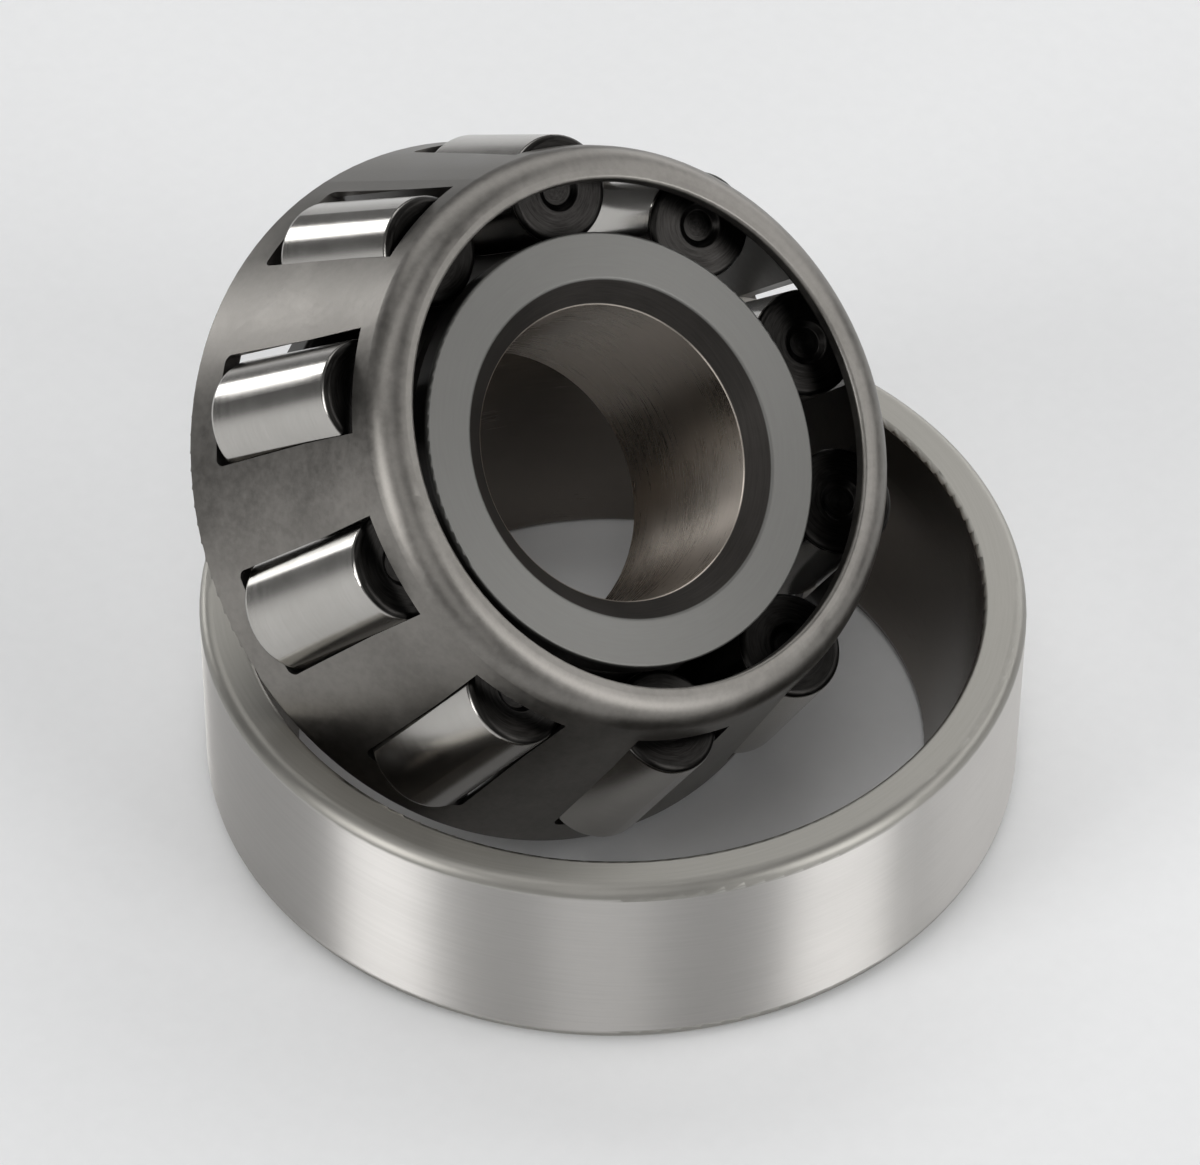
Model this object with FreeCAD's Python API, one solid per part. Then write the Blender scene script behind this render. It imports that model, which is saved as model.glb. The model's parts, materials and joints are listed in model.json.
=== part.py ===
import FreeCAD, Part
import math
import os

from FreeCAD import Placement, Rotation, Vector

# A single-row tapered roller bearing, taken apart: the outer ring lies flat on its back face, and the
# inner ring with its rollers and cage leans inside it. Millimetres. The origin is the centre of the
# outer ring's back face, +Z runs up that ring's axis, and the inner ring's axis leans towards +X.

# Boundary sizes. Bore, outside diameter and both ring widths are those of the metric size 15 x 42.
BORE_DIAMETER = 15.0
OUTSIDE_DIAMETER = 42.0
INNER_RING_WIDTH = 13.0
OUTER_RING_WIDTH = 11.0
ASSEMBLED_WIDTH = 12.6
RACEWAY_ANGLE = 14.0
RACEWAY_SMALL_DIAMETER = 32.2

# Outer ring edges.
OUTER_BACK_CORNER = 0.9
OUTER_FRONT_CORNER = 0.7
RACEWAY_FRONT_CORNER = 0.3
RACEWAY_BACK_CORNER = 0.45

# Rollers. Distances along the bearing axis are counted from the inner ring's back face.
ROLLER_COUNT = 10
ROLLER_HALF_ANGLE = 2.35
ROLLER_LARGE_END_HEIGHT = 3.0
ROLLER_SMALL_END_HEIGHT = 11.65
ROLLER_EDGE_ROUNDING = 0.35
ROLLER_END_CROWN = 0.06
RECESS_RADIUS = 1.1
RECESS_DEPTH = 0.3
RECESS_EDGE_ROUNDING = 0.15
RECESS_FLOOR_ROUNDING = 0.1

# Inner ring.
RACEWAY_CLEARANCE = 0.03
RIB_CLEARANCE = 0.05
SMALL_RIB_CLEARANCE = 0.25
LARGE_RIB_RADIUS = 13.75
SMALL_RIB_RADIUS = 11.0
RIB_CORNER = 0.45
SMALL_RIB_CORNER = 0.15
BORE_CHAMFER_WIDTH = 1.15
BORE_CHAMFER_DEPTH = 1.0
BORE_FACE_CORNER = 0.2
RELIEF_DEPTH = 0.3
RELIEF_WIDTH = 0.6
RELIEF_CORNER = 0.1

# Cage, pressed from one sheet.
SHEET = 0.85
CAGE_ANGLE = 15.7
CAGE_LARGE_END_HEIGHT = 1.0
CAGE_SMALL_END_HEIGHT = 14.6
CAGE_LARGE_END_RADIUS = 18.32
FLANGE_EDGE_RADIUS = 12.82
BEND_RADIUS = 1.6
SHEET_EDGE_ROUNDING = 0.2
FIRST_WINDOW_ANGLE = 12.95
WINDOW_HALF_WIDTH_LARGE = 2.9
WINDOW_HALF_WIDTH_SMALL = 2.55
WINDOW_CORNER = 0.4
POCKET_CLEARANCE = 0.32
WINDOW_LARGE_END_CLEARANCE = 0.4
WINDOW_SMALL_END_CLEARANCE = 0.5

# How the set lies in the outer ring: the cage's large end stands on the ground and leans on the
# outer ring's inner edge. By the play in the windows, the inner ring and rollers have sunk in the
# cage, the cage sits slightly askew on them, and each roller lies to one side in its window.
LEAN = 43.2
CAGE_LARGE_END_X = -7.42
CAGE_LARGE_END_Y = 0.01
GROUND_GAP = 0.41
RING_DROP = 0.2
RING_SIDE_SHIFT = 0.37
CAGE_ASKEW_SIDEWAYS = 0.7
CAGE_ASKEW_BACK = 0.4
ROLLER_SIDE_PLAY = 0.2
ROLLER_SIDE_ANGLE = 30.0

TAPER = math.tan(math.radians(RACEWAY_ANGLE))
OUTER_RADIUS = OUTSIDE_DIAMETER / 2
BORE_RADIUS = BORE_DIAMETER / 2
APEX_HEIGHT = ASSEMBLED_WIDTH + RACEWAY_SMALL_DIAMETER / 2 / TAPER
ROLLER_TILT = math.radians(RACEWAY_ANGLE - ROLLER_HALF_ANGLE)
ROLLER_TAPER = math.tan(math.radians(ROLLER_HALF_ANGLE))
UP = Vector(0, 0, 1)


def unit(vector):
    return vector * (1.0 / vector.Length)


def outline(corners):
    """Closed face in the X-Z plane through (radius, height, rounding) corners."""
    points = [Vector(radius, 0, height) for radius, height, rounding in corners]
    count = len(corners)
    stretches = []
    for i, (radius, height, rounding) in enumerate(corners):
        corner = points[i]
        to_last = unit(points[i - 1] - corner)
        to_next = unit(points[(i + 1) % count] - corner)
        if rounding == 0:
            stretches.append((corner, corner, corner))
            continue
        half_angle = to_last.getAngle(to_next) / 2
        inward = unit(to_last + to_next)
        cut_back = rounding / math.tan(half_angle)
        middle = corner + inward * (rounding / math.sin(half_angle) - rounding)
        stretches.append((corner + to_last * cut_back, middle, corner + to_next * cut_back))
    edges = []
    for i, (start, middle, end) in enumerate(stretches):
        if (end - start).Length > 1e-6:
            edges.append(Part.Arc(start, middle, end).toShape())
        next_start = stretches[(i + 1) % count][0]
        edges.append(Part.LineSegment(end, next_start).toShape())
    return Part.Face(Part.Wire(edges))


def turned(corners):
    """Solid of revolution about Z."""
    return outline(corners).revolve(Vector(0, 0, 0), UP, 360)


def roller_size(height):
    """Distance of the roller axis from the bearing axis, and roller radius, at a height on that axis."""
    along = (APEX_HEIGHT - height) / math.cos(ROLLER_TILT)
    return along * math.sin(ROLLER_TILT), along * ROLLER_TAPER


LARGE_END_OFFSET, ROLLER_LARGE_RADIUS = roller_size(ROLLER_LARGE_END_HEIGHT)
SMALL_END_OFFSET, ROLLER_SMALL_RADIUS = roller_size(ROLLER_SMALL_END_HEIGHT)
ROLLER_LENGTH = (ROLLER_SMALL_END_HEIGHT - ROLLER_LARGE_END_HEIGHT) / math.cos(ROLLER_TILT)


def roller_place(angle):
    """From a roller's own frame, large end at the origin and small end up +Z, to the inner ring's frame."""
    lie = Placement(
        Vector(LARGE_END_OFFSET, 0, ROLLER_LARGE_END_HEIGHT),
        Rotation(Vector(0, 1, 0), -math.degrees(ROLLER_TILT)),
    )
    return Placement(Vector(), Rotation(UP, angle)).multiply(lie)


def roller_angle(window_angle):
    """Angle round the inner ring of the roller that lies in the window at an angle round the cage."""
    turn = math.radians(window_angle)
    middle_height = (ROLLER_LARGE_END_HEIGHT + ROLLER_SMALL_END_HEIGHT) / 2
    drop = RING_DROP + middle_height * math.sin(math.radians(CAGE_ASKEW_BACK))
    side = RING_SIDE_SHIFT + middle_height * math.sin(math.radians(CAGE_ASKEW_SIDEWAYS))
    ring_shift = drop * math.sin(turn) + side * math.cos(turn)
    play = ROLLER_SIDE_PLAY * math.cos(turn - math.radians(ROLLER_SIDE_ANGLE))
    middle_offset = (LARGE_END_OFFSET + SMALL_END_OFFSET) / 2
    return window_angle + math.degrees(math.asin((play - ring_shift) / middle_offset))


def set_place():
    """From the frame of the cage and ring set, axis +Z, to the model's frame."""
    lean = Rotation(Vector(0, 1, 0), LEAN).multiply(Rotation(UP, 180))
    axis = lean.multVec(UP)
    lowest = CAGE_LARGE_END_RADIUS * math.sin(math.radians(LEAN))
    large_end = Vector(CAGE_LARGE_END_X, CAGE_LARGE_END_Y, lowest + GROUND_GAP)
    return Placement(large_end - axis * CAGE_LARGE_END_HEIGHT, lean)


def make_outer_ring():
    small = RACEWAY_SMALL_DIAMETER / 2
    large = small + OUTER_RING_WIDTH * TAPER
    return turned([
        (small, 0, RACEWAY_BACK_CORNER),
        (OUTER_RADIUS, 0, OUTER_BACK_CORNER),
        (OUTER_RADIUS, OUTER_RING_WIDTH, OUTER_FRONT_CORNER),
        (large, OUTER_RING_WIDTH, RACEWAY_FRONT_CORNER),
    ])


def roller_bottom(distance, outward):
    """Inner ring surface point: distance along the roller from its large end, outward from its inner side."""
    radius = ROLLER_LARGE_RADIUS - distance * ROLLER_TAPER
    side = -radius - RACEWAY_CLEARANCE + outward
    point = roller_place(0).multVec(Vector(side, 0, distance))
    return point.x, point.z


def make_inner_ring():
    rib_foot = roller_bottom(-RIB_CLEARANCE, -RELIEF_DEPTH)
    rib_top = roller_bottom(-RIB_CLEARANCE, LARGE_RIB_RADIUS - rib_foot[0])
    relief_end = roller_bottom(RELIEF_WIDTH, -RELIEF_DEPTH)
    race_start = roller_bottom(RELIEF_WIDTH + RELIEF_DEPTH, 0)
    race_end = roller_bottom(ROLLER_LENGTH - RELIEF_WIDTH, 0)
    small_relief = roller_bottom(ROLLER_LENGTH - RELIEF_WIDTH + RELIEF_DEPTH, -RELIEF_DEPTH)
    small_foot = roller_bottom(ROLLER_LENGTH + SMALL_RIB_CLEARANCE, -RELIEF_DEPTH)
    small_top = roller_bottom(ROLLER_LENGTH + SMALL_RIB_CLEARANCE, SMALL_RIB_RADIUS - small_foot[0])
    bore_face = BORE_RADIUS + BORE_CHAMFER_WIDTH
    return turned([
        (BORE_RADIUS, BORE_CHAMFER_DEPTH, 0),
        (bore_face, 0, BORE_FACE_CORNER),
        (LARGE_RIB_RADIUS, 0, RIB_CORNER),
        (LARGE_RIB_RADIUS, rib_top[1], RIB_CORNER / 2),
        rib_foot + (RELIEF_CORNER,),
        relief_end + (RELIEF_CORNER,),
        race_start + (RELIEF_CORNER,),
        race_end + (RELIEF_CORNER,),
        small_relief + (RELIEF_CORNER,),
        small_foot + (RELIEF_CORNER,),
        (SMALL_RIB_RADIUS, small_top[1], SMALL_RIB_CORNER),
        (SMALL_RIB_RADIUS, INNER_RING_WIDTH, SMALL_RIB_CORNER),
        (bore_face, INNER_RING_WIDTH, BORE_FACE_CORNER),
        (BORE_RADIUS, INNER_RING_WIDTH - BORE_CHAMFER_DEPTH, 0),
    ])


def make_roller():
    """A roller in its own frame, with a slightly domed large end and a shallow recess in its small end."""
    crown_middle = ROLLER_LARGE_RADIUS / 2
    return turned([
        (0, 0, 0),
        (crown_middle, ROLLER_END_CROWN / 4, 0),
        (ROLLER_LARGE_RADIUS, ROLLER_END_CROWN, ROLLER_EDGE_ROUNDING),
        (ROLLER_SMALL_RADIUS, ROLLER_LENGTH, ROLLER_EDGE_ROUNDING),
        (RECESS_RADIUS, ROLLER_LENGTH, RECESS_EDGE_ROUNDING),
        (RECESS_RADIUS - RECESS_DEPTH, ROLLER_LENGTH - RECESS_DEPTH, RECESS_FLOOR_ROUNDING),
        (0, ROLLER_LENGTH - RECESS_DEPTH, 0),
    ])


def cage_shell():
    """The cage before its windows are punched: a cone, a rounded bend and a flange turned inwards."""
    wall = SHEET / math.cos(math.radians(CAGE_ANGLE))
    slope = math.tan(math.radians(CAGE_ANGLE))
    drop = (CAGE_SMALL_END_HEIGHT - CAGE_LARGE_END_HEIGHT) * slope
    inside_drop = (CAGE_SMALL_END_HEIGHT - SHEET - CAGE_LARGE_END_HEIGHT) * slope
    return turned([
        (CAGE_LARGE_END_RADIUS - wall, CAGE_LARGE_END_HEIGHT, SHEET_EDGE_ROUNDING),
        (CAGE_LARGE_END_RADIUS, CAGE_LARGE_END_HEIGHT, SHEET_EDGE_ROUNDING),
        (CAGE_LARGE_END_RADIUS - drop, CAGE_SMALL_END_HEIGHT, BEND_RADIUS),
        (FLANGE_EDGE_RADIUS, CAGE_SMALL_END_HEIGHT, SHEET_EDGE_ROUNDING),
        (FLANGE_EDGE_RADIUS, CAGE_SMALL_END_HEIGHT - SHEET, SHEET_EDGE_ROUNDING),
        (CAGE_LARGE_END_RADIUS - wall - inside_drop, CAGE_SMALL_END_HEIGHT - SHEET, BEND_RADIUS - SHEET),
    ])


def window_cutter():
    """One window in a roller's frame: a tapered slot through the sheet, opened inside to clear the roller."""
    low = -WINDOW_LARGE_END_CLEARANCE
    high = ROLLER_LENGTH + WINDOW_SMALL_END_CLEARANCE
    slot_face = outline([
        (-WINDOW_HALF_WIDTH_LARGE, low, WINDOW_CORNER),
        (WINDOW_HALF_WIDTH_LARGE, low, WINDOW_CORNER),
        (WINDOW_HALF_WIDTH_SMALL, high, WINDOW_CORNER),
        (-WINDOW_HALF_WIDTH_SMALL, high, WINDOW_CORNER),
    ])
    slot_face.rotate(Vector(), UP, 90)
    slot = slot_face.extrude(Vector(ROLLER_LARGE_RADIUS + 2, 0, 0))
    pocket = Part.makeCone(
        ROLLER_LARGE_RADIUS + POCKET_CLEARANCE,
        ROLLER_SMALL_RADIUS + POCKET_CLEARANCE,
        high - low,
        Vector(0, 0, low),
        UP,
    )
    return slot.fuse(pocket)


def make_cage(angles):
    cutter = window_cutter()
    windows = []
    for angle in angles:
        window = cutter.copy()
        window.Placement = roller_place(angle)
        windows.append(window)
    return cage_shell().cut(windows)


def solid_of(shape):
    solids = shape.Solids
    if len(solids) != 1 or not solids[0].isValid():
        raise ValueError("expected one valid solid, found %d" % len(solids))
    return solids[0]


def main():
    os.makedirs("parts", exist_ok=True)
    window_angles = [FIRST_WINDOW_ANGLE + 360.0 * i / ROLLER_COUNT for i in range(ROLLER_COUNT)]
    leaning = set_place()
    askew = Placement(Vector(), Rotation(Vector(1, 0, 0), CAGE_ASKEW_SIDEWAYS))
    askew = askew.multiply(Placement(Vector(), Rotation(Vector(0, 1, 0), CAGE_ASKEW_BACK)))
    sunk = leaning.multiply(Placement(Vector(-RING_DROP, RING_SIDE_SHIFT, 0), Rotation()))
    roller = make_roller()

    shapes = {"outer_ring": make_outer_ring(), "inner_ring": make_inner_ring(), "cage": make_cage(window_angles)}
    shapes["inner_ring"].Placement = sunk
    shapes["cage"].Placement = leaning.multiply(askew)
    for i, window_angle in enumerate(window_angles):
        shape = roller.copy()
        shape.Placement = sunk.multiply(roller_place(roller_angle(window_angle)))
        shapes["roller_%02d" % (i + 1)] = shape

    for name, shape in shapes.items():
        solid = solid_of(shape)
        solid.exportStep("parts/%s.step" % name)
        print(name, "volume %.1f mm3" % solid.Volume)


main()
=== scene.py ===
import json
import math

import bmesh
import bpy
from mathutils import Matrix, Vector

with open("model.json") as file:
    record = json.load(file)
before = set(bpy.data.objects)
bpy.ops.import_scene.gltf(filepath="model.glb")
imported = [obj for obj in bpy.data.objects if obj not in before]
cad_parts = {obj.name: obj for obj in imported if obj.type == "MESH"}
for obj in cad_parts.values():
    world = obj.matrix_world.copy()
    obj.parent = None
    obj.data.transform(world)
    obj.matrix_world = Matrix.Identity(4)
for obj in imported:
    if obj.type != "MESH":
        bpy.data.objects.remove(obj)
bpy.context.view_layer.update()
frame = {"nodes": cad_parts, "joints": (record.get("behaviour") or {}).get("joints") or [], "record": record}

MM = 0.001

# ---------------------------------------------------------------- places and sizes
MOUNTS = {mount["name"]: mount for mount in frame["record"]["mounts"]}
JOINTS = {joint["name"]: joint for joint in frame["joints"]}
ROLLERS = sorted(node for node in frame["nodes"] if node.startswith("roller_"))
UP = Vector((0.0, 0.0, 1.0))
AXIS = Vector(MOUNTS["shaft_bore"]["axis"])              # the inner ring's axis, towards its small end
AXIS_POINT = Vector(MOUNTS["shaft_bore"]["pos_m"])       # the middle of its bore
BORE_RADIUS = MOUNTS["shaft_bore"]["dims"]["r_mm"] * MM
CUP_RADIUS = MOUNTS["housing_seat"]["dims"]["r_mm"] * MM
RING_HALF_WIDTH = (Vector(MOUNTS["cone_front_face"]["pos_m"]) - AXIS_POINT).dot(AXIS)
CHAMFER_END = BORE_RADIUS + 1.15 * MM                    # where the bore's chamfer meets the ring's face
FLANGE_HEIGHT = 7.25 * MM                                # the cage flange's inner side, above AXIS_POINT

# ---------------------------------------------------------------- finishes
# The darkest and the lightest colour of each finish's stains; the raceway, chamfer, outside, sheet inside and
# roller end colours also carry painted shade or a painted dark reflection.
TURNED_FACE = ((0.285, 0.277, 0.254), (0.328, 0.317, 0.293))
BRUSHED_WALL = ((0.55, 0.535, 0.515), (0.61, 0.593, 0.573))
# The raceway's steel, darkened with painted shade for the shadow inside the cup.
SHADED_OUTER_RACEWAY = ((0.185, 0.166, 0.148), (0.222, 0.2, 0.18))
GROUND_FACE = ((0.162, 0.16, 0.152), (0.184, 0.182, 0.174))
BROWNISH_BORE = ((0.455, 0.41, 0.36), (0.54, 0.485, 0.43))
# The bore's chamfer, near black: a painted dark reflection.
DARK_REFLECTION_CHAMFER = ((0.03, 0.028, 0.026), (0.05, 0.046, 0.043))
# The ring's outside between its faces, near black: painted shade where it sits under the cage and rollers.
SHADED_OUTSIDE = ((0.035, 0.033, 0.031), (0.06, 0.057, 0.054))
PRESSED_SHEET = ((0.165, 0.157, 0.145), (0.235, 0.224, 0.208))
# The sheet's inside, near black: painted shade.
SHADED_SHEET_INSIDE = ((0.03, 0.028, 0.027), (0.05, 0.047, 0.045))
ROLLER_SIDE = ((0.44, 0.425, 0.4), (0.515, 0.5, 0.476))
# The roller ends, near black: painted shade, as they sit in the gap under the cage's flange.
ROLLER_END = ((0.006, 0.0056, 0.0052), (0.03, 0.0285, 0.027))
PAPER = ((0.84, 0.845, 0.85, 1.0), (0.88, 0.885, 0.89, 1.0))

# Tool marks: how many across a metre, and how many pieces each is broken into round the axis.
OUTER_MARKS = (7000.0, 36.0)
INNER_MARKS = (9000.0, 30.0)
ROLLER_MARKS = (14000.0, 12.0)
MARK_SHARE = 0.6                         # how much of the tone comes from the marks, the rest being stains
INNER_MARK_SHARE = 0.5

# Noises, in cells a metre.
OUTER_STAINS = 160.0
INNER_STAINS = 190.0
ROLLER_STAINS = 420.0
SHEET_CLOUDS = 260.0
SHEET_GRAIN = 2600.0
SHEET_CLOUD_SHARE = 0.65
PAPER_FIBRES = 900.0
TONE_RANGE = (0.3, 0.7)                  # where nearly all of a noise's values lie

OUTER_ROUGHNESS = 0.43
RACEWAY_ROUGHNESS = 0.25
FACE_ROUGHNESS = 0.5
BORE_ROUGHNESS = 0.28
SHEET_ROUGHNESS = (0.34, 0.44)           # in its dark and its light stains
ROLLER_END_ROUGHNESS = 0.34
ROLLER_SIDE_ROUGHNESS = 0.2
PAPER_ROUGHNESS = 0.75
ROUGHNESS_SPREAD = 0.03                  # how far the stains change the roughness of ground steel
ROLLER_ROUGHNESS_SPREAD = 0.025

TURNED_ANISOTROPY = 0.3
BRUSHED_ANISOTROPY = 1.0
RACEWAY_ANISOTROPY = 0.8
ROLLER_ANISOTROPY = 0.4
QUARTER_TURN = 0.25                      # lays the anisotropy along the tool marks

# Bumps: strength and depth.
OUTER_BUMP = (0.25, 0.0005 * MM)
INNER_BUMP = (0.08, 0.0005 * MM)
ROLLER_BUMP = (0.15, 0.0006 * MM)
SHEET_BUMP = (0.35, 0.01 * MM)
PAPER_BUMP = (0.2, 0.02 * MM)


class Nodes:
    """A small builder over one material's node tree."""

    def __init__(self, name):
        self.material = bpy.data.materials.new(name)
        self.material.use_nodes = True
        self.tree = self.material.node_tree
        self.tree.nodes.clear()

    def add(self, kind, **settings):
        node = self.tree.nodes.new(kind)
        for key, value in settings.items():
            setattr(node, key, value)
        return node

    def feed(self, socket, value):
        """Link a socket to a socket, or set it to a plain value."""
        if isinstance(value, bpy.types.NodeSocket):
            self.tree.links.new(value, socket)
        else:
            socket.default_value = value

    def maths(self, operation, a, b=0.0):
        node = self.add("ShaderNodeMath", operation=operation)
        self.feed(node.inputs[0], a)
        self.feed(node.inputs[1], b)
        return node.outputs[0]

    def vector(self, operation, a, b=(0.0, 0.0, 0.0)):
        node = self.add("ShaderNodeVectorMath", operation=operation)
        self.feed(node.inputs[0], a)
        self.feed(node.inputs[1], b)
        return node.outputs["Vector"]

    def scaled(self, vector, factor):
        node = self.add("ShaderNodeVectorMath", operation="SCALE")
        self.feed(node.inputs[0], vector)
        self.feed(node.inputs["Scale"], factor)
        return node.outputs["Vector"]

    def dot(self, a, b):
        node = self.add("ShaderNodeVectorMath", operation="DOT_PRODUCT")
        self.feed(node.inputs[0], a)
        self.feed(node.inputs[1], b)
        return node.outputs["Value"]

    def ramp(self, value, low, high, to_low=0.0, to_high=1.0, curve="SMOOTHSTEP"):
        """Carry a value from the range low to high over to the range to_low to to_high."""
        node = self.add("ShaderNodeMapRange", interpolation_type=curve)
        self.feed(node.inputs["Value"], value)
        node.inputs["From Min"].default_value = low
        node.inputs["From Max"].default_value = high
        node.inputs["To Min"].default_value = to_low
        node.inputs["To Max"].default_value = to_high
        return node.outputs["Result"]

    def fall(self, value, start, end):
        """1 below start, 0 above end."""
        return self.ramp(value, start, end, 1.0, 0.0)

    def inside(self, value, low, high, soft):
        """1 where low < value < high, easing to 0 over `soft` outside it."""
        return self.maths("MULTIPLY", self.ramp(value, low - soft, low), self.fall(value, high, high + soft))

    def noise(self, vector, scale, detail, roughness=0.55):
        node = self.add("ShaderNodeTexNoise")
        self.feed(node.inputs["Vector"], vector)
        node.inputs["Scale"].default_value = scale
        node.inputs["Detail"].default_value = detail
        node.inputs["Roughness"].default_value = roughness
        return node.outputs["Fac"]

    def mix(self, factor, a, b):
        """Colour a where the factor is 0, colour b where it is 1."""
        node = self.add("ShaderNodeMix", data_type="RGBA")
        factor_socket, a_socket, b_socket = node.inputs[0], node.inputs[6], node.inputs[7]
        self.feed(factor_socket, factor)
        self.feed(a_socket, a)
        self.feed(b_socket, b)
        return node.outputs[2]

    def bump(self, height, strength, distance):
        node = self.add("ShaderNodeBump")
        self.feed(node.inputs["Height"], height)
        node.inputs["Strength"].default_value = strength
        node.inputs["Distance"].default_value = distance
        return node.outputs["Normal"]

    def facing(self):
        """The surface's direction, in object coordinates."""
        return self.add("ShaderNodeTexCoord").outputs["Normal"]

    def place(self, point, axis):
        """The place on the object, and its height, radius, outward and around directions about an axis."""
        axis = tuple(axis)
        here = self.add("ShaderNodeTexCoord").outputs["Object"]
        from_point = self.vector("SUBTRACT", here, tuple(point))
        height = self.dot(from_point, axis)
        flat = self.vector("SUBTRACT", from_point, self.scaled(axis, height))
        length = self.add("ShaderNodeVectorMath", operation="LENGTH")
        self.feed(length.inputs[0], flat)
        outward = self.vector("NORMALIZE", flat)
        around = self.vector("CROSS_PRODUCT", axis, outward)
        world = self.add("ShaderNodeVectorTransform", vector_type="VECTOR",
                         convert_from="OBJECT", convert_to="WORLD")
        self.feed(world.inputs[0], around)
        return here, height, length.outputs["Value"], outward, world.outputs[0]

    def streaks(self, height, radius, outward, fine, turns):
        """A noise drawn out round the axis, as tool marks are: `fine` cells a metre across, `turns` round."""
        ring = self.scaled(outward, turns / (2 * math.pi * fine))
        across = self.add("ShaderNodeCombineXYZ")
        self.feed(across.inputs["X"], self.maths("ADD", height, radius))
        return self.noise(self.vector("ADD", ring, across.outputs[0]), fine, detail=4.0, roughness=0.65)

    def blend(self, first, second, share):
        """Two noises added, `share` of the first."""
        rest = self.maths("MULTIPLY", second, 1 - share)
        return self.maths("ADD", self.maths("MULTIPLY", first, share), rest)

    def by_tone(self, tone, dark, light):
        return self.ramp(tone, *TONE_RANGE, dark, light)

    def tint(self, tone, finish):
        dark, light = finish
        return self.mix(self.by_tone(tone, 0.0, 1.0), (*dark, 1.0), (*light, 1.0))

    def stained(self, roughness, tone, spread=ROUGHNESS_SPREAD):
        return self.maths("ADD", roughness, self.by_tone(tone, -spread, spread))

    def principled(self, color, roughness, normal, metallic=1.0, anisotropy=0.0, tangent=None):
        """The finished material. Its anisotropy counts only with a tangent."""
        shader = self.add("ShaderNodeBsdfPrincipled")
        self.feed(shader.inputs["Base Color"], color)
        self.feed(shader.inputs["Roughness"], roughness)
        self.feed(shader.inputs["Normal"], normal)
        shader.inputs["Metallic"].default_value = metallic
        if tangent is not None:
            self.feed(shader.inputs["Anisotropic"], anisotropy)
            shader.inputs["Anisotropic Rotation"].default_value = QUARTER_TURN
            self.feed(shader.inputs["Tangent"], tangent)
        out = self.add("ShaderNodeOutputMaterial")
        self.tree.links.new(shader.outputs[0], out.inputs["Surface"])
        return self.material


# ---------------------------------------------------------------- materials
def outer_ring_steel():
    """Brushed outside wall, finely turned top face, smooth raceway darkened with painted shade."""
    n = Nodes("outer_ring_ground")
    here, height, radius, outward, around = n.place((0.0, 0.0, 0.0), UP)
    lines = n.streaks(height, radius, outward, *OUTER_MARKS)
    tone = n.blend(lines, n.noise(here, OUTER_STAINS, detail=4.0), MARK_SHARE)
    facing = n.facing()
    # The wall is outermost and upright, which leaves out the rounded edges above and below it.
    outermost = n.ramp(radius, CUP_RADIUS - 0.3 * MM, CUP_RADIUS - 0.1 * MM)
    upright = n.fall(n.maths("ABSOLUTE", n.dot(facing, tuple(UP))), 0.02, 0.3)
    wall = n.maths("MULTIPLY", outermost, upright)
    # Only the raceway faces the axis.
    raceway = n.fall(n.dot(facing, outward), -0.95, -0.35)
    color = n.mix(wall, n.tint(tone, TURNED_FACE), n.tint(tone, BRUSHED_WALL))
    # Painted shade: the raceway takes its darkened colour.
    color = n.mix(raceway, color, n.tint(tone, SHADED_OUTER_RACEWAY))
    rough = n.stained(n.ramp(raceway, 0.0, 1.0, OUTER_ROUGHNESS, RACEWAY_ROUGHNESS), tone)
    brushed = n.ramp(wall, 0.0, 1.0, TURNED_ANISOTROPY, BRUSHED_ANISOTROPY)
    more = n.ramp(raceway, 0.0, 1.0, 0.0, RACEWAY_ANISOTROPY - TURNED_ANISOTROPY)
    normal = n.bump(lines, *OUTER_BUMP)
    return n.principled(color, rough, normal, anisotropy=n.maths("ADD", brushed, more), tangent=around)


def inner_ring_steel():
    """Matte ground faces, chamfers darkened with a painted dark reflection, outside darkened with painted
    shade, smooth brownish bore.
    """
    n = Nodes("inner_ring_ground")
    here, height, radius, outward, around = n.place(AXIS_POINT, AXIS)
    lines = n.streaks(height, radius, outward, *INNER_MARKS)
    tone = n.blend(lines, n.noise(here, INNER_STAINS, detail=4.0), INNER_MARK_SHARE)
    bore = n.fall(radius, BORE_RADIUS + 0.02 * MM, BORE_RADIUS + 0.1 * MM)
    chamfer = n.inside(radius, BORE_RADIUS + 0.08 * MM, CHAMFER_END - 0.12 * MM, soft=0.06 * MM)
    # The outside is what lies between the two flat faces and outside the bore's chamfers.
    between_faces = n.fall(n.maths("ABSOLUTE", height),
                           RING_HALF_WIDTH - 0.35 * MM, RING_HALF_WIDTH - 0.08 * MM)
    beyond_chamfer = n.ramp(radius, CHAMFER_END + 0.3 * MM, CHAMFER_END + 0.6 * MM)
    outside = n.maths("MULTIPLY", between_faces, beyond_chamfer)
    color = n.mix(bore, n.tint(tone, GROUND_FACE), n.tint(tone, BROWNISH_BORE))
    # Painted dark reflection on the bore's chamfers.
    color = n.mix(chamfer, color, n.tint(tone, DARK_REFLECTION_CHAMFER))
    # Painted shade on the outside, under the cage and rollers.
    color = n.mix(outside, color, n.tint(tone, SHADED_OUTSIDE))
    rough = n.stained(n.ramp(bore, 0.0, 1.0, FACE_ROUGHNESS, BORE_ROUGHNESS, curve="LINEAR"), tone)
    normal = n.bump(lines, *INNER_BUMP)
    return n.principled(color, rough, normal, anisotropy=TURNED_ANISOTROPY, tangent=around)


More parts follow.
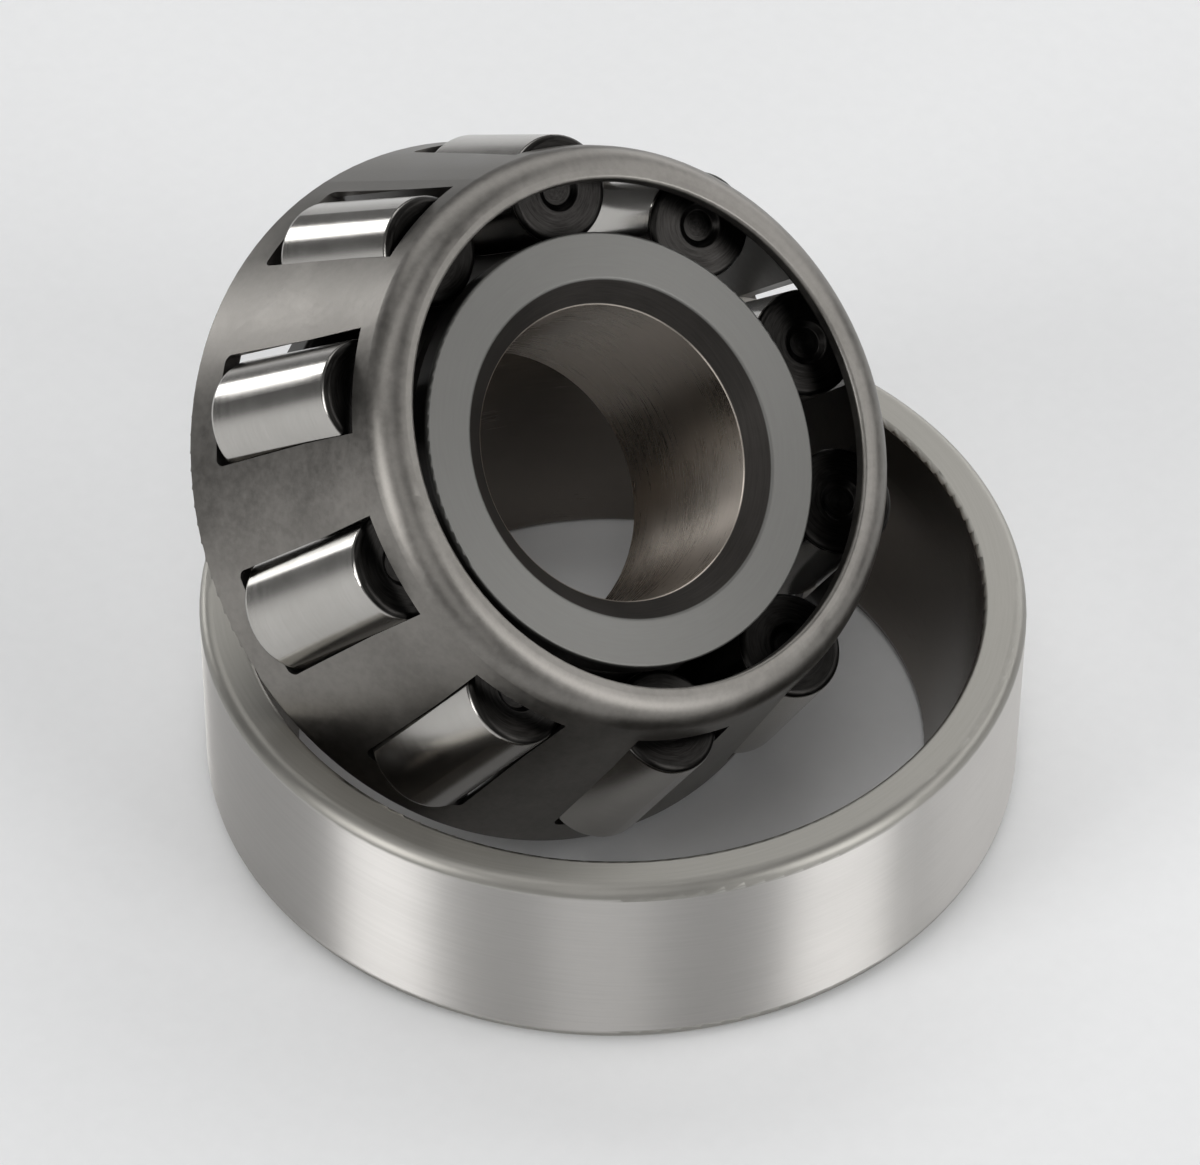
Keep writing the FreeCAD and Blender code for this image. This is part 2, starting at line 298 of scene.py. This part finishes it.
def cage_steel():
    """Pressed sheet, satin and slightly mottled, its inside darkened with painted shade."""
    n = Nodes("cage_pressed")
    here, height, _, outward, _ = n.place(AXIS_POINT, AXIS)
    cloud = n.noise(here, SHEET_CLOUDS, detail=5.0, roughness=0.6)
    grain = n.noise(here, SHEET_GRAIN, detail=3.0, roughness=0.6)
    tone = n.blend(cloud, grain, SHEET_CLOUD_SHARE)
    # Painted shade darkens the inside, which faces the axis or the large end, and ends below the flange.
    facing = n.facing()
    inward = n.fall(n.dot(facing, outward), -0.8, 0.0)
    downward = n.fall(n.dot(facing, tuple(AXIS)), -0.95, -0.15)
    below_flange = n.fall(height, FLANGE_HEIGHT, FLANGE_HEIGHT + 0.1 * MM)
    inside = n.maths("MULTIPLY", n.maths("MAXIMUM", inward, downward), below_flange)
    # Painted shade on the cage's inside.
    color = n.mix(inside, n.tint(tone, PRESSED_SHEET), n.tint(tone, SHADED_SHEET_INSIDE))
    rough = n.by_tone(tone, *SHEET_ROUGHNESS)
    return n.principled(color, rough, n.bump(grain, *SHEET_BUMP))


def roller_steel(roller):
    """Polished sides with marks round the roller's own axis, and duller ends darkened with painted shade."""
    joint = JOINTS[roller + "_spin"]
    axis = Vector(joint["axis"])
    n = Nodes(roller + "_ground")
    here, height, radius, outward, around = n.place(Vector(joint["pos_m"]), axis)
    lines = n.streaks(height, radius, outward, *ROLLER_MARKS)
    tone = n.blend(lines, n.noise(here, ROLLER_STAINS, detail=3.0), MARK_SHARE)
    # The ends face along the axis, and the sides across it.
    side = n.fall(n.maths("ABSOLUTE", n.dot(n.facing(), tuple(axis))), 0.25, 0.6)
    # Painted shade on the roller ends.
    color = n.mix(side, n.tint(tone, ROLLER_END), n.tint(tone, ROLLER_SIDE))
    rough = n.ramp(side, 0.0, 1.0, ROLLER_END_ROUGHNESS, ROLLER_SIDE_ROUGHNESS)
    rough = n.stained(rough, tone, spread=ROLLER_ROUGHNESS_SPREAD)
    normal = n.bump(lines, *ROLLER_BUMP)
    return n.principled(color, rough, normal, anisotropy=ROLLER_ANISOTROPY, tangent=around)


def pale_paper():
    """Matte and not a metal, with faint fibres."""
    n = Nodes("pale_paper")
    fibre = n.noise(n.add("ShaderNodeTexCoord").outputs["Object"], PAPER_FIBRES, detail=4.0)
    return n.principled(n.mix(fibre, *PAPER), PAPER_ROUGHNESS, n.bump(fibre, *PAPER_BUMP), metallic=0.0)


def assign(node, material):
    for slot in frame["nodes"][node].material_slots:
        slot.material = material


assign("outer_ring", outer_ring_steel())
assign("inner_ring", inner_ring_steel())
assign("cage", cage_steel())
for roller in ROLLERS:
    assign(roller, roller_steel(roller))


# ---------------------------------------------------------------- floor
FLOOR_HALF = 0.25                        # half of the floor's side, in metres
FLOOR_CELLS = 8


def make_floor():
    mesh = bpy.data.meshes.new("floor")
    grid = bmesh.new()
    bmesh.ops.create_grid(grid, x_segments=FLOOR_CELLS, y_segments=FLOOR_CELLS, size=FLOOR_HALF)
    grid.to_mesh(mesh)
    grid.free()
    mesh.materials.append(pale_paper())
    floor = bpy.data.objects.new("floor", mesh)
    bpy.context.scene.collection.objects.link(floor)


make_floor()


# ---------------------------------------------------------------- light
LIGHT_DISTANCE = 0.8                     # in metres, from the middle of the outer ring's back face
LIGHTS = (
    # name, azimuth, elevation, width and height in degrees as seen from the object, brightness
    ("left_front", -101.0, 22.0, 25.0, 40.0, 4.5),
    ("right_front", 11.0, 22.0, 28.0, 40.0, 3.85),
    ("right_back", 62.0, 31.0, 50.0, 26.0, 1.9),
    ("back_right", 105.0, 11.0, 40.0, 20.0, 2.2),
    ("back_left", -176.0, 7.0, 15.0, 13.0, 6.0),
    ("back_high", 140.0, 46.0, 80.0, 36.0, 1.3),
    ("front_fill", -48.0, 38.0, 30.0, 56.0, 1.15),
    ("overhead", -110.0, 80.0, 60.0, 50.0, 2.5),
)
WORLD_COLOR = (1.0, 1.0, 1.0, 1.0)
WORLD_STRENGTH = 0.12


def make_light(name, azimuth, elevation, wide, high, brightness):
    """A softbox that faces the object, as bright for each part of its area as `brightness` says."""
    a, e = math.radians(azimuth), math.radians(elevation)
    towards = Vector((math.cos(a) * math.cos(e), math.sin(a) * math.cos(e), math.sin(e)))
    data = bpy.data.lights.new(name, "AREA")
    data.shape = "RECTANGLE"
    data.size = 2 * LIGHT_DISTANCE * math.tan(math.radians(wide) / 2) * math.cos(e)
    data.size_y = 2 * LIGHT_DISTANCE * math.tan(math.radians(high) / 2)
    data.energy = math.pi * data.size * data.size_y * brightness
    light = bpy.data.objects.new(name, data)
    light.location = towards * LIGHT_DISTANCE
    light.rotation_mode = "QUATERNION"
    light.rotation_quaternion = towards.to_track_quat("Z", "Y")
    bpy.context.scene.collection.objects.link(light)


def make_world():
    world = bpy.data.worlds.new("studio")
    world.use_nodes = True
    background = world.node_tree.nodes["Background"]
    background.inputs["Color"].default_value = WORLD_COLOR
    background.inputs["Strength"].default_value = WORLD_STRENGTH
    bpy.context.scene.world = world


for light in LIGHTS:
    make_light(*light)
make_world()


# ---------------------------------------------------------------- camera
LENS_MM = 180.0
SENSOR_MM = 36.0
CAMERA_AZIMUTH = 44.0
CAMERA_ELEVATION = 45.903
CAMERA_DISTANCE = 0.31225                # from the same middle
CAMERA_ROLL = -0.658
AIM_SIDEWAYS = -0.10924                  # how far right of that middle the camera aims, in degrees
AIM_ABOVE = 1.49012                      # and how far above it
CLIP_START, CLIP_END = 0.01, 10.0


def make_camera():
    """A long lens looking down at the two rings, aimed a little above the outer ring, so that it sits low."""
    az, el = math.radians(CAMERA_AZIMUTH), math.radians(CAMERA_ELEVATION)
    back = Vector((math.sin(az) * math.cos(el), -math.cos(az) * math.cos(el), math.sin(el)))
    right = Vector((math.cos(az), math.sin(az), 0.0))
    up = back.cross(right)
    roll = math.radians(CAMERA_ROLL)
    right, up = (math.cos(roll) * right - math.sin(roll) * up,
                 math.sin(roll) * right + math.cos(roll) * up)
    sideways = math.tan(math.radians(AIM_SIDEWAYS))
    above = math.tan(math.radians(AIM_ABOVE))
    view = (-back + sideways * right + above * up).normalized()
    right = (right - right.dot(view) * view).normalized()
    up = right.cross(view)
    data = bpy.data.cameras.new("camera")
    data.lens = LENS_MM
    data.sensor_width = SENSOR_MM
    data.clip_start = CLIP_START
    data.clip_end = CLIP_END
    camera = bpy.data.objects.new("camera", data)
    bpy.context.scene.collection.objects.link(camera)
    turn = Matrix((right, up, -view)).transposed().to_4x4()
    camera.matrix_world = Matrix.Translation(back * CAMERA_DISTANCE) @ turn
    bpy.context.scene.camera = camera


make_camera()
bpy.context.scene.view_settings.view_transform = "Standard"
